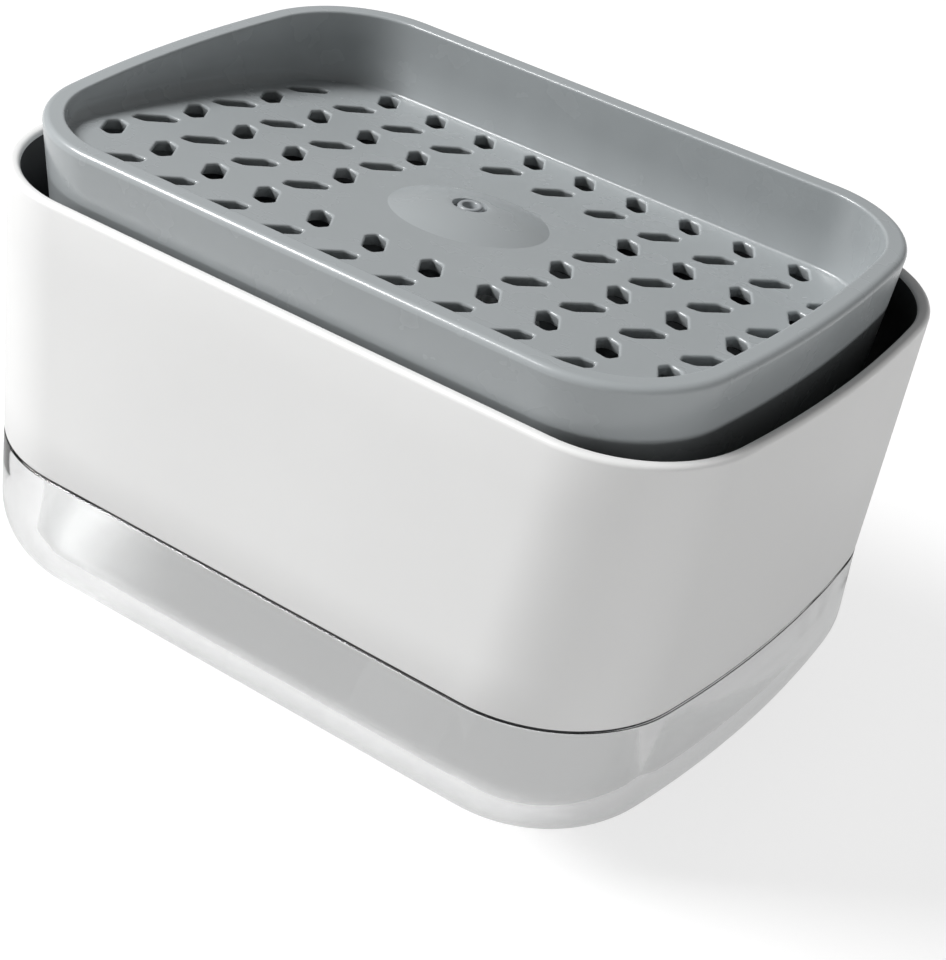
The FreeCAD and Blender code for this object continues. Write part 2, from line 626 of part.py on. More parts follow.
def floor_block(name, below):
    """A block that ends at the sloped floor's top, above it, or at its underside, below it."""
    block = doc.addObject("Part::Box", name)
    drop = f"(tray_wall + {FLOOR_BLOCK})" if below else "0 * tray_wall"
    block.Placement = Placement(Vector(), Rotation(Vector(1, 0, 0), -value("floor_slope")))
    bind(block, Length=FLOOR_SPAN, Width=FLOOR_SPAN, Height=FLOOR_BLOCK,
         Placement__Rotation__Angle="-floor_slope",
         Placement__Base__x=f"-{FLOOR_SPAN} / 2",
         Placement__Base__y=f"-{FLOOR_SPAN} / 2 * cos(floor_slope) - {drop} * sin(floor_slope)",
         Placement__Base__z=f"{FLOOR_MIDDLE} + {FLOOR_SPAN} / 2 * sin(floor_slope) - {drop} * cos(floor_slope)")
    doc.recompute()
    return block


def build_dome():
    """Low dome on the floor, square to its slope."""
    reach = "(dome_size * dome_size / 4 + dome_height * dome_height) / (2 * dome_height)"
    sink = f"({reach} - dome_height)"
    cap = doc.addObject("Part::Sphere", "dome_cap")
    bind(cap, Radius=reach, Placement__Base__y=f"-{sink} * sin(floor_slope)",
         Placement__Base__z=f"{FLOOR_MIDDLE} - {sink} * cos(floor_slope)")
    drum = doc.addObject("Part::Cylinder", "dome_drum")
    drum.Placement = Placement(Vector(), Rotation(Vector(1, 0, 0), -value("floor_slope")))
    bind(drum, Radius="dome_size / 2", Height="dome_root + 2 * dome_height",
         Placement__Rotation__Angle="-floor_slope",
         Placement__Base__y="-dome_root * sin(floor_slope)",
         Placement__Base__z=f"{FLOOR_MIDDLE} - dome_root * cos(floor_slope)")
    doc.recompute()
    return boolean("Part::Common", "dome", cap, drum)


def slot_loop(grow, height, slant):
    """Closed outline of one slot: a long hexagon with pointed ends, at a height over the floor."""
    tip = value(f"{SLOT_LENGTH} / 2") + grow
    side = value("slot_width / 2") + grow
    shoulder = value(f"{SLOT_LENGTH} / 2 - slot_point") + grow / 2
    corners = [(tip, 0), (shoulder, side), (-shoulder, side), (-tip, 0), (-shoulder, -side), (shoulder, -side)]
    turn = Rotation(Vector(0, 0, 1), slant)
    points = [turn.multVec(Vector(x, y, height)) for x, y in corners]
    return Part.makePolygon(points + points[:1])


def build_slots():
    """All drain slots as one cutting form, leaning one way and the other row by row."""
    edge = value("slot_edge")
    depth = value("2 * tray_wall")
    tools = []
    for row, columns in enumerate(SLOT_ROWS):
        slant = value("slot_angle") * (1 if row % 2 == 0 else -1)
        loops = [slot_loop(0, -depth, slant), slot_loop(0, -edge, slant), slot_loop(2 * edge, edge, slant)]
        tool = Part.makeLoft(loops, True, True)
        for column in columns:
            across = (column - (SLOT_COLUMNS - 1) / 2) * value(SLOT_PITCH)
            along = (row - (len(SLOT_ROWS) - 1) / 2) * value(ROW_PITCH)
            tools.append(tool.translated(Vector(across, along, 0)))
    slots = doc.addObject("Part::Feature", "slots")
    slots.Shape = Part.makeCompound(tools)
    tilt = Rotation(Vector(1, 0, 0), -value("floor_slope"))
    slots.Placement = Placement(Vector(0, 0, value(FLOOR_MIDDLE)), tilt)
    return slots


def build_tray():
    """Sponge tray: drawn-in skirt, flat rim, sloped floor with slots, dome, and the head's socket below."""
    block = new_body("tray_block")
    skirt = inset(TRAY_RIM, "skirt_taper")
    rim = rounded_rim(TRAY_TOP, TRAY_RIM, "rim_round")
    loft(block, "tray_outer", "PartDesign::AdditiveLoft", [(SKIRT_FOOT, skirt), *rim])
    well = new_body("well_form")
    well_foot = (SKIRT_FOOT, inset(TRAY_RIM, "rim_width + well_taper"))
    well_rim = rounded_rim(TRAY_TOP, inset(TRAY_RIM, "rim_width"), "rim_inner_round", True)
    loft(well, "well_loft", "PartDesign::AdditiveLoft", [well_foot, *well_rim])
    under = new_body("under_form")
    under_foot = (SKIRT_FOOT, inset(skirt, "tray_wall"))
    under_rim = (TRAY_TOP, inset(TRAY_RIM, "tray_wall"))
    loft(under, "under_loft", "PartDesign::AdditiveLoft", [under_foot, under_rim])
    hollow = boolean("Part::Common", "under_hollow", under, floor_block("under_block", True))
    space = boolean("Part::Common", "well_space", well, floor_block("well_block", False))
    shell = boolean("Part::Cut", "tray_shell", block, hollow)
    boss = upright_cylinder("boss", f"{HEAD_SOCKET} + boss_wall", HEAD_FOOT, FLOOR_MIDDLE)
    bossed = joined("tray_bossed", shell, boss)
    dished = boolean("Part::Cut", "tray_dished", bossed, space)
    domed = joined("tray_domed", dished, build_dome())
    slotted = boolean("Part::Cut", "tray_slotted", domed, build_slots())
    socket = upright_cylinder("socket", HEAD_SOCKET, f"({HEAD_FOOT} - stroke_spare)", SOCKET_ROOF)
    hole = upright_cylinder("hole", "nozzle_size / 2", HEAD_FOOT, TRAY_TOP)
    bored = boolean("Part::Cut", "tray_bored", slotted, joined("bores", socket, hole))
    bored.Label = "sponge_tray"
    return bored


def build_nozzle():
    """Nozzle in the dome: a ring with a narrower tube."""
    outer = "(nozzle_size / 2 - nozzle_clearance)"
    ledge = f"({NOZZLE_FOOT} + nozzle_flange)"
    top = f"({NOZZLE_FOOT} + nozzle_height)"
    return turned("outlet_nozzle", [
        ("nozzle_bore / 2", NOZZLE_FOOT), (outer, NOZZLE_FOOT), (outer, ledge), ("nozzle_tube / 2", ledge),
        ("nozzle_tube / 2", top), ("nozzle_bore / 2", top),
    ])


inlet_height = f"{VALVE_FOOT} - {HOLE_IN} + (inlet_ball_size / 2 + ball_gap) * sqrt(2)"
outlet_height = f"{SEAT_TOP} + ball_gap + sqrt(outlet_ball_size * outlet_ball_size - seat_hole * seat_hole) / 2"
seal_foot = f"({SEAL_FOOT} + seal_end_gap)"
seal_top = f"({SEAL_FOOT} + seal_height - seal_end_gap)"
seam_hole = inset(FOOT, f"{SPIGOT_INSET} - ring_clearance")
tube_foot = "(tank_floor + tube_rise)"
tube_top = f"({SOCKET_TOP} - tube_end_gap)"
nodes = [
    build_tray(),
    build_nozzle(),
    build_housing(),
    build_tank(),
    ring("seam_gasket", inset(FOOT, "seam_inset"), seam_hole, SHOULDER, "seam_thickness"),
    build_lid(),
    ring("lid_gasket", inset(LID, "seal_inset"), inset(FOOT, "side_wall - seal_inset"), "tank_top", "lid_seal"),
    build_collar(),
    washer("neck_gasket", FLANGE_OUT, NECK_IN, NECK_TOP, FLANGE_UNDER),
    build_cylinder(),
    build_guide(),
    washer("ball_cage", BORE_FIT, "cage_hole / 2", BARREL_LEDGE, CAGE_TOP),
    build_ball("inlet_ball", "inlet_ball_size", inlet_height),
    washer("dip_tube", "tube_size / 2", "tube_bore / 2", tube_foot, tube_top),
    build_spring(),
    washer("plunger_stem", STEM_OUT, STEM_IN, STEM_FOOT, STEM_TOP),
    build_piston(),
    washer("piston_seal", f"({BARREL_IN} - seal_gap)", f"({GROOVE_IN} + press_clearance)", seal_foot, seal_top),
    build_head(),
    washer("outlet_valve_seat", STEM_OUT, "seat_hole / 2", STEM_TOP, SEAT_TOP),
    build_ball("outlet_ball", "outlet_ball_size", outlet_height),
]
doc.recompute()

for thing in doc.Objects:
    if {"Invalid", "Error"} & set(thing.State):
        raise RuntimeError(f"{thing.Label} did not build: {thing.State}")
os.makedirs("parts", exist_ok=True)
for node in nodes:
    if node.Shape.isNull() or not node.Shape.isValid():
        raise RuntimeError(f"{node.Label} is not a sound solid")
    node.Shape.exportStep(f"parts/{node.Label}.step")
    box = node.Shape.BoundBox
    print(f"{node.Label}: {len(node.Shape.Solids)} solid, {node.Shape.Volume:.1f} mm3, "
          f"x {box.XMin:.2f} {box.XMax:.2f} y {box.YMin:.2f} {box.YMax:.2f} z {box.ZMin:.2f} {box.ZMax:.2f}")
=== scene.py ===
"""A soap pump caddy: a slotted sponge tray on a pump, in a white sleeve over a clear tank."""
import logging
import math
from dataclasses import dataclass, field
from enum import Enum
from typing import Callable, Sequence

import bmesh
import bpy
from mathutils import Matrix, Vector


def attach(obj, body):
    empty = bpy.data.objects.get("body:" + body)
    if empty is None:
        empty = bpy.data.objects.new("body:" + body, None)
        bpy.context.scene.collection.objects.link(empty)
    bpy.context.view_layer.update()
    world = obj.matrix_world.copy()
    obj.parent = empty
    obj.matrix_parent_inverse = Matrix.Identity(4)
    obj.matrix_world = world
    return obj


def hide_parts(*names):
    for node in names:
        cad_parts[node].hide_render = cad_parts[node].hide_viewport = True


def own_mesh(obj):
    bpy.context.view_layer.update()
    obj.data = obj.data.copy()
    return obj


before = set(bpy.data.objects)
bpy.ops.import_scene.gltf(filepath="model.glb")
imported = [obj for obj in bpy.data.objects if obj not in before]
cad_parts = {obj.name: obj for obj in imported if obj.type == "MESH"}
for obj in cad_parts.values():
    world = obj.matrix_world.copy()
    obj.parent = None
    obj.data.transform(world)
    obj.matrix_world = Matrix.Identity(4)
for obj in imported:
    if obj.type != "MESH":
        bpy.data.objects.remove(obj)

LOG = logging.getLogger("caddy")
MM = 0.001  # metres
BRIDGE_LIFT = 0.05  # metres
MERGE = 0.0005  # millimetres
COAT_ROUGHNESS = 0.08
EDGE_BLEND = 0.15
NOISE_SPAN = (0.3, 0.7)
TONE_DRIFT = (0.975, 1.025)
GLOSS_FINENESS = 4
SKIN_SCALE = 1400.0
SKIN_DETAIL = 2.0
QUARTER = math.pi / 2
FULL = 2 * math.pi
Triple = tuple[float, float, float]
Loop = Sequence[bmesh.types.BMVert]


class Body(Enum):
    """Moving bodies that a piece can ride on."""

    BASE = "base"
    UPPER = "upper"
    TRAY = "tray"


class Pattern(Enum):
    """How a noise is used in a finish."""

    TONE = "tone"
    GLOSS = "gloss"
    RELIEF = "relief"


# Drawing helpers


@dataclass(frozen=True)
class Arc:
    """One arc of a closed outline, in millimetres and radians."""

    x: float
    y: float
    radius: float
    start: float
    end: float
    steps: int


def draw_loop(mesh: bmesh.types.BMesh, arcs: Sequence[Arc], height: float = 0.0) -> Loop:
    """Draws a closed outline of arcs joined by straight runs.

    Args:
        mesh: The mesh that takes the outline.
        arcs: The arcs, in order round the outline.
        height: Height of the outline in millimetres.

    Returns:
        The outline's vertices in order.
    """
    loop: list[bmesh.types.BMVert] = []
    for arc in arcs:
        middle = Vector((arc.x, arc.y, height)) * MM
        out = Vector((math.cos(arc.start), math.sin(arc.start), 0)) * arc.radius * MM
        first = mesh.verts.new(middle + out)
        known = set(mesh.verts)
        bmesh.ops.spin(mesh, geom=[first], cent=middle, axis=(0, 0, 1),
                       angle=arc.end - arc.start, steps=arc.steps)
        run = [first]
        while True:
            ahead = [e.other_vert(run[-1]) for e in run[-1].link_edges if e.other_vert(run[-1]) not in known]
            ahead = [v for v in ahead if v not in run]
            if not ahead:
                break
            run.append(ahead[0])
        if loop:
            mesh.edges.new((loop[-1], run[0]))
        loop += run
    mesh.edges.new((loop[-1], loop[0]))
    return loop


def loop_edges(loop: Loop) -> list[bmesh.types.BMEdge]:
    """Edges round a closed loop of vertices."""
    pairs = zip(loop, [*loop[1:], loop[0]])
    found = []
    for near, far in pairs:
        found += [e for e in near.link_edges if e.other_vert(near) is far][:1]
    return found


def skin(mesh: bmesh.types.BMesh, loops: Sequence[Loop]) -> None:
    """Bridges each loop to the next, held apart meanwhile so that level pairs keep their order."""
    lift = Vector((0, 0, BRIDGE_LIFT))
    for near, far in zip(loops, loops[1:]):
        bmesh.ops.translate(mesh, verts=far, vec=lift)
        bmesh.ops.bridge_loops(mesh, edges=loop_edges(near) + loop_edges(far))
        bmesh.ops.translate(mesh, verts=far, vec=-lift)


def circle(mesh: bmesh.types.BMesh, radius: float, place: Matrix, sides: int = 64) -> Loop:
    """Draws a circle.

    Args:
        mesh: The mesh that takes the circle.
        radius: Its radius in millimetres.
        place: Its place, in metres.
        sides: How many sides it has.

    Returns:
        Its vertices in order.
    """
    made = bmesh.ops.create_circle(mesh, cap_ends=False, segments=sides, radius=radius * MM, matrix=place)
    return list(made["verts"])


def finish_mesh(mesh: bmesh.types.BMesh, name: str, sharp: float) -> bpy.types.Object:
    """Closes a mesh, turns its faces outwards and makes it an object.

    Args:
        mesh: The mesh, in metres.
        name: The piece's name.
        sharp: Edges that turn by more than this many degrees stay sharp.

    Returns:
        The new object, at the origin.
    """
    bmesh.ops.remove_doubles(mesh, verts=mesh.verts, dist=MERGE * MM)
    bmesh.ops.recalc_face_normals(mesh, faces=mesh.faces)
    data = bpy.data.meshes.new(name)
    for face in mesh.faces:
        face.smooth = True
    for edge in mesh.edges:
        edge.smooth = edge.smooth and edge.calc_face_angle(0.0) < math.radians(sharp)
    mesh.to_mesh(data)
    mesh.free()
    piece = bpy.data.objects.new(name, data)
    bpy.context.scene.collection.objects.link(piece)
    return piece


@dataclass(frozen=True)
class Outline:
    """Rounded oblong with bowed ends, seen from above, in millimetres."""

    length: float
    width: float
    corner: float
    bow: float
    corner_steps: int = 22
    end_steps: int = 16

    def inset(self, step: float) -> "Outline":
        """The same outline drawn in by a step all round."""
        return Outline(self.length - 2 * step, self.width - 2 * step, self.corner - step, self.bow - step)

    def toward(self, other: "Outline", share: float) -> "Outline":
        """The outline a share of the way to another one."""
        def mix(a: float, b: float) -> float:
            return a + (b - a) * share
        return Outline(mix(self.length, other.length), mix(self.width, other.width),
                       mix(self.corner, other.corner), mix(self.bow, other.bow))

    def arcs(self) -> list[Arc]:
        """The outline's arcs, from the front's right end round to its left end."""
        half = self.width / 2
        set_back = self.bow - self.length / 2
        lean = math.asin((half - self.corner) / (self.bow - self.corner))
        reach = (self.bow - self.corner) * math.cos(lean) - set_back
        side = half - self.corner
        return [
            Arc(reach, -side, self.corner, -QUARTER, -lean, self.corner_steps),
            Arc(-set_back, 0, self.bow, -lean, lean, self.end_steps),
            Arc(reach, side, self.corner, lean, QUARTER, self.corner_steps),
            Arc(-reach, side, self.corner, QUARTER, math.pi - lean, self.corner_steps),
            Arc(set_back, 0, self.bow, math.pi - lean, math.pi + lean, self.end_steps),
            Arc(-reach, -side, self.corner, math.pi + lean, math.pi + QUARTER, self.corner_steps),
        ]

    def draw(self, mesh: bmesh.types.BMesh, height: float) -> Loop:
        """Draws the outline level at a height, and gives its vertices in order."""
        return draw_loop(mesh, self.arcs(), height)


def rounded(turns: int) -> list[tuple[float, float]]:
    """Sines and cosines of even steps through a quarter turn."""
    return [(math.sin(QUARTER * i / turns), math.cos(QUARTER * i / turns)) for i in range(turns + 1)]


# Finishes


@dataclass(frozen=True)
class Noise:
    """A noise pattern that a finish uses."""

    use: Pattern
    scale: float
    low: float
    high: float
    detail: float = 3.0


@dataclass(frozen=True)
class Finish:
    """A moulded finish with slight variation in tone, gloss and relief."""

    name: str
    tone: Triple
    roughness: float
    noises: tuple[Noise, ...] = ()
    coat: float = 0.0
    metallic: float = 0.0
    transmission: float = 0.0
    index: float = 1.48
    passes_light: float = 0.0
    relief_depth: float = 0.00002
    edge_tone: Triple | None = None

    def build(self) -> bpy.types.Material:
        """Makes the material.

        Returns:
            A material whose patterns follow object coordinates.
        """
        material = bpy.data.materials.new(self.name)
        material.use_nodes = True
        tree = material.node_tree
        shader = tree.nodes["Principled BSDF"]
        shader.inputs["Base Color"].default_value = (*self.tone, 1)
        shader.inputs["Roughness"].default_value = self.roughness
        shader.inputs["Metallic"].default_value = self.metallic
        shader.inputs["IOR"].default_value = self.index
        shader.inputs["Coat Weight"].default_value = self.coat
        shader.inputs["Coat Roughness"].default_value = COAT_ROUGHNESS
        shader.inputs["Transmission Weight"].default_value = self.transmission
        place = tree.nodes.new("ShaderNodeTexCoord").outputs["Object"]
        for noise in self.noises:
            self.add_noise(tree, shader, place, noise)
        if self.edge_tone:
            self.shade_edges(tree, shader)
        if self.passes_light:
            self.let_light_through(tree, shader)
        return material

    def shade_edges(self, tree: bpy.types.NodeTree, shader: bpy.types.Node) -> None:
        """Deepens the tone where the surface is seen on edge, as thick clear walls do."""
        slant = tree.nodes.new("ShaderNodeLayerWeight")
        slant.inputs["Blend"].default_value = EDGE_BLEND
        ramp = tree.nodes.new("ShaderNodeValToRGB")
        for stop, tone in zip(ramp.color_ramp.elements, (self.tone, self.edge_tone)):
            stop.color = (*tone, 1)
        tree.links.new(slant.outputs["Facing"], ramp.inputs["Fac"])
        tree.links.new(ramp.outputs["Color"], shader.inputs["Base Color"])

    def add_noise(self, tree: bpy.types.NodeTree, shader: bpy.types.Node, place: bpy.types.NodeSocket,
                  noise: Noise) -> None:
        """Adds one pattern to the shader.

        Args:
            tree: The material's nodes.
            shader: The surface shader.
            place: The socket that gives the place on the piece.
            noise: The pattern.
        """
        source = tree.nodes.new("ShaderNodeTexNoise")
        source.inputs["Scale"].default_value = noise.scale
        source.inputs["Detail"].default_value = noise.detail
        tree.links.new(place, source.inputs["Vector"])
        if noise.use is Pattern.TONE:
            ramp = tree.nodes.new("ShaderNodeValToRGB")
            for stop, share, position in zip(ramp.color_ramp.elements, (noise.low, noise.high), NOISE_SPAN):
                stop.position = position
                stop.color = (*(min(c * share, 1.0) for c in self.tone), 1)
            tree.links.new(source.outputs["Fac"], ramp.inputs["Fac"])
            tree.links.new(ramp.outputs["Color"], shader.inputs["Base Color"])
        elif noise.use is Pattern.GLOSS:
            spread = tree.nodes.new("ShaderNodeMapRange")
            spread.inputs["From Min"].default_value = NOISE_SPAN[0]
            spread.inputs["From Max"].default_value = NOISE_SPAN[1]
            spread.inputs["To Min"].default_value = noise.low
            spread.inputs["To Max"].default_value = noise.high
            tree.links.new(source.outputs["Fac"], spread.inputs["Value"])
            tree.links.new(spread.outputs["Result"], shader.inputs["Roughness"])
        else:
            bump = tree.nodes.new("ShaderNodeBump")
            bump.inputs["Strength"].default_value = noise.high
            bump.inputs["Distance"].default_value = self.relief_depth
            tree.links.new(source.outputs["Fac"], bump.inputs["Height"])
            tree.links.new(bump.outputs["Normal"], shader.inputs["Normal"])

    def let_light_through(self, tree: bpy.types.NodeTree, shader: bpy.types.Node) -> None:
        """Lets lamps shine through a clear finish, so that its shadow stays pale."""
        path = tree.nodes.new("ShaderNodeLightPath")
        clear = tree.nodes.new("ShaderNodeBsdfTransparent")
        clear.inputs["Color"].default_value = (self.passes_light,) * 3 + (1,)
        mix = tree.nodes.new("ShaderNodeMixShader")
        tree.links.new(path.outputs["Is Shadow Ray"], mix.inputs[0])
        tree.links.new(shader.outputs["BSDF"], mix.inputs[1])
        tree.links.new(clear.outputs["BSDF"], mix.inputs[2])
        tree.links.new(mix.outputs["Shader"], tree.nodes["Material Output"].inputs["Surface"])


def moulded(scale: float, gloss: tuple[float, float], relief: float) -> tuple[Noise, ...]:
    """Patterns of a moulded plastic: slow drift of tone, uneven gloss and a fine skin."""
    return (Noise(Pattern.TONE, scale, *TONE_DRIFT), Noise(Pattern.GLOSS, scale * GLOSS_FINENESS, *gloss),
            Noise(Pattern.RELIEF, SKIN_SCALE, 0.0, relief, SKIN_DETAIL))


TRAY_GREY = Finish("tray_grey_plastic", (0.358, 0.381, 0.391), 0.26,
                   moulded(26.0, (0.22, 0.30), 0.04), coat=0.12)
NOZZLE_GREY = Finish("nozzle_grey_plastic", (0.33, 0.35, 0.365), 0.26,
                     moulded(90.0, (0.22, 0.30), 0.04), coat=0.12)
SLEEVE_WHITE = Finish("sleeve_white_plastic", (0.78, 0.78, 0.775), 0.38,
                      moulded(18.0, (0.34, 0.44), 0.10), coat=0.1)
TANK_CLEAR = Finish("tank_clear_plastic", (0.985, 0.988, 0.988), 0.03,
                    (Noise(Pattern.GLOSS, 40.0, 0.015, 0.05), Noise(Pattern.RELIEF, 60.0, 0.0, 0.10, 1.0)),
                    transmission=1.0, passes_light=0.97, relief_depth=0.00006, edge_tone=(0.46, 0.48, 0.48))
# Painted shade: the sleeve's inner wall is near black, standing in for the deep shadow in the gap between
# sleeve and tray.
SLEEVE_INSIDE_PAINTED_SHADE = Finish("sleeve_inside_painted_shade", (0.035, 0.037, 0.039), 0.5, moulded(18.0, (0.45, 0.55), 0.10))
SEAM_BLACK = Finish("seam_black_rubber", (0.012, 0.012, 0.013), 0.55, moulded(60.0, (0.45, 0.65), 0.2))
# Painted shade: the lid is dark grey so that the inside seen through the tray's slots reads as shadowed.
LID_PAINTED_SHADE = Finish("lid_painted_shade_plastic", (0.075, 0.082, 0.086), 0.45, moulded(40.0, (0.40, 0.52), 0.15))
SEAL_GREY = Finish("seal_grey_rubber", (0.48, 0.49, 0.50), 0.6, moulded(80.0, (0.52, 0.68), 0.2))
PUMP_WHITE = Finish("pump_white_plastic", (0.74, 0.75, 0.75), 0.35, moulded(60.0, (0.30, 0.42), 0.08))
TUBE_CLEAR = Finish("tube_clear_plastic", (0.86, 0.88, 0.89), 0.2, moulded(60.0, (0.15, 0.28), 0.05),
                    transmission=0.7, passes_light=0.7)
VALVE_STEEL = Finish("valve_polished_steel", (0.62, 0.62, 0.63), 0.16,
                     moulded(200.0, (0.12, 0.22), 0.02), metallic=1.0)
SPRING_STEEL = Finish("spring_drawn_steel", (0.52, 0.52, 0.54), 0.28,
                      moulded(400.0, (0.22, 0.36), 0.06), metallic=1.0)
FLOOR_PALE = Finish("floor_pale", (0.30, 0.30, 0.30), 0.6, (Noise(Pattern.GLOSS, 6.0, 0.55, 0.65),))


# Sub-assemblies

SEAM_LINE = Outline(144.5, 107.0, 26.0, 236.75)


@dataclass(frozen=True)
class SlopedFloor:
    """The tray's sloped floor plane, down to the back."""

    middle: float = 78.85
    slope: float = math.radians(8.2)

    def height(self, y: float, below: float = 0.0) -> float:
        """Height of the floor at a depth y, or of the plane a distance below it, in millimetres."""
        return self.middle - below / math.cos(self.slope) - y * math.tan(self.slope)

    def place(self, above: float = 0.0) -> Matrix:
        """The floor's own frame, lifted square to it, in metres."""
        tilt = Matrix.Rotation(-self.slope, 4, "X")
        return Matrix.Translation((0, 0, self.middle * MM)) @ tilt @ Matrix.Translation((0, 0, above * MM))


@dataclass
class SpongeTray:
    """Grey tray: flat rim, drafted skirt, sloped slotted floor, centre dome and the pump head's socket."""

    rim: Outline = Outline(138.4, 95.0, 22.5, 233.7)
    floor: SlopedFloor = SlopedFloor()
    top: float = 87.5
    depth: float = 23.0
    skirt_taper: float = 2.6
    wall: float = 2.2
    rim_width: float = 3.8
    rim_round: float = 1.2
    rim_inner_round: float = 0.5
    rim_turns: int = 6
    rim_inner_turns: int = 5
    well_taper: float = 0.5
    wall_shares: tuple[float, ...] = (0.5, 0.95)
    floor_round: float = 2.4
    side_round: float = 0.85
    floor_turns: int = 8
    under_inset: float = 1.0
    round_fades: tuple[float, float] = (27.0, 36.0)
    support: float = 0.08
    dome_radius: float = 14.2
    dome_height: float = 2.2
    dome_shares: tuple[float, ...] = (1.0, 0.985, 0.9, 0.75, 0.6, 0.45, 0.32)
    hole_radius: float = 3.1
    hole_edge: tuple[tuple[float, float], ...] = ((0.25, 0.0), (0.07, 0.05), (0.0, 0.25))
    boss_radius: float = 9.0
    boss_foot: float = 68.5
    boss_soft: float = 0.3
    socket_radius: float = 7.05
    socket_roof: float = 77.4
    slot_length: float = 9.0
    slot_width: float = 3.5
    slot_point: float = 1.7
    slot_tip_round: float = 0.55
    slot_side_round: float = 1.3
    slot_edge: float = 0.45
    slot_flare: float = 0.8
    slot_turns: int = 4
    slot_slant: float = math.radians(60)
    slot_pitch: float = 11.41
    row_pitch: float = 11.0
    columns: int = 11
    rows: int = 8
    dome_columns: tuple[int, ...] = (4, 5, 6)
    dome_rows: tuple[int, ...] = (2, 3, 4, 5)

    def build(self) -> list[bpy.types.Object]:
        """Makes the tray.

        Returns:
            The tray, dressed and riding on its body.
        """
        mesh = bmesh.new()
        foot, floor_edge = self.draw_well(mesh)
        under_edge = self.draw_skirt(mesh, foot)
        top_slots, under_slots = self.draw_slots(mesh)
        dome_edge, hole = self.draw_dome(mesh)
        boss_edge = self.draw_socket(mesh, hole)
        self.fill(mesh, [floor_edge, dome_edge, *top_slots])
        self.fill(mesh, [under_edge, boss_edge, *under_slots])
        bmesh.ops.holes_fill(mesh, edges=[e for e in mesh.edges if e.is_boundary], sides=4)
        piece = finish_mesh(mesh, "sponge_tray_moulding", sharp=40.0)
        piece.data.materials.append(TRAY_GREY.build())
        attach(piece, Body.TRAY.value)
        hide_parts("sponge_tray")
        return [piece]

    def fill(self, mesh: bmesh.types.BMesh, loops: Sequence[Loop]) -> None:
        """Fills the flat between an outer loop and those inside it, enlarged to keep fine edges apart."""
        verts = [vert for loop in loops for vert in loop]
        edges = [edge for loop in loops for edge in loop_edges(loop)]
        bmesh.ops.scale(mesh, vec=(1 / MM,) * 3, verts=verts)
        square = (0, math.sin(self.floor.slope), math.cos(self.floor.slope))
        bmesh.ops.triangle_fill(mesh, use_beauty=True, edges=edges, normal=square)
        bmesh.ops.scale(mesh, vec=(MM,) * 3, verts=verts)

    def settle(self, loop: Loop, above: Callable[[float], float], below: float = 0.0) -> None:
        """Moves a loop up or down to stand over the floor plane.

        Args:
            loop: The loop's vertices.
            above: Height over the plane, for a depth y in millimetres.
            below: How far under the floor the plane lies.
        """
        for vert in loop:
            y = vert.co.y / MM
            vert.co.z = (self.floor.height(y, below) + above(y)) * MM

    def edge_round(self, y: float) -> float:
        """Radius of the round between floor and wall, smaller beside the front and back rows of slots."""
        near, far = self.round_fades
        share = min(max((abs(y) - near) / (far - near), 0.0), 1.0)
        return self.floor_round + (self.side_round - self.floor_round) * share * share * (3 - 2 * share)

    def draw_outer(self, mesh: bmesh.types.BMesh) -> list[Loop]:
        """Draws the skirt's outside and the rim's outer round, from the foot up."""
        foot = self.top - self.depth

        def skirt(height: float) -> Outline:
            share = (self.top - self.rim_round - height) / (self.depth - self.rim_round)
            return self.rim.inset(self.skirt_taper * share)
        heights = [foot, foot + self.support, (foot + self.top) / 2, self.top - self.rim_round - self.support]
        loops = [skirt(height).draw(mesh, height) for height in heights]
        for sine, cosine in rounded(self.rim_turns):
            step = self.rim_round * (1 - cosine)
            loops.append(self.rim.inset(step).draw(mesh, self.top - self.rim_round * (1 - sine)))
        return loops

    def draw_well(self, mesh: bmesh.types.BMesh) -> tuple[Loop, Loop]:
        """Draws the outside, the rim and the well's wall down to the floor.

        Args:
            mesh: The tray's mesh.

        Returns:
            The loop round the skirt's foot, and the loop where the floor begins.
        """
        loops = self.draw_outer(mesh)
        inner = self.rim.inset(self.rim_width)
        loops.append(self.rim.inset(self.rim_round + self.support).draw(mesh, self.top))
        loops.append(inner.inset(-self.rim_inner_round - self.support).draw(mesh, self.top))
        for sine, cosine in rounded(self.rim_inner_turns):
            drop = self.rim_inner_round * (1 - cosine)
            loops.append(inner.inset(-self.rim_inner_round * (1 - sine)).draw(mesh, self.top - drop))
        loops.append(inner.draw(mesh, self.top - self.rim_inner_round - self.support))
        slant = self.well_taper / self.depth
        for share in self.wall_shares:
            loops.append(inner.draw(mesh, self.top))
            for vert in loops[-1]:
                y = vert.co.y / MM
                wall_foot = self.floor.height(y) + self.edge_round(y)
                vert.co.z = (self.top + (wall_foot - self.top) * share) * MM
        for sine, cosine in rounded(self.floor_turns):
            loops.append(inner.draw(mesh, self.top))
            self.draw_in(loops[-1], lambda y, c=cosine: self.edge_round(y) * (1 - c)
                         + slant * (self.top - self.floor.height(y)))
            self.settle(loops[-1], lambda y, s=sine: self.edge_round(y) * (1 - s))
        loops.append(inner.draw(mesh, self.top))
        self.draw_in(loops[-1], lambda y: self.edge_round(y) + self.support
                     + slant * (self.top - self.floor.height(y)))
        self.settle(loops[-1], lambda y: 0.0)
        skin(mesh, loops)
        return loops[0], loops[-1]

    def draw_in(self, loop: Loop, step: Callable[[float], float]) -> None:
        """Draws a loop in, square to itself, by a step that depends on the depth y in millimetres."""
        ways = []
        for before, vert, after in zip([loop[-1], *loop[:-1]], loop, [*loop[1:], loop[0]]):
            along = (vert.co - before.co).normalized() + (after.co - vert.co).normalized()
            ways.append(Vector((-along.y, along.x, 0)).normalized())
        for vert, way in zip(loop, ways):
            vert.co += way * step(vert.co.y / MM) * MM

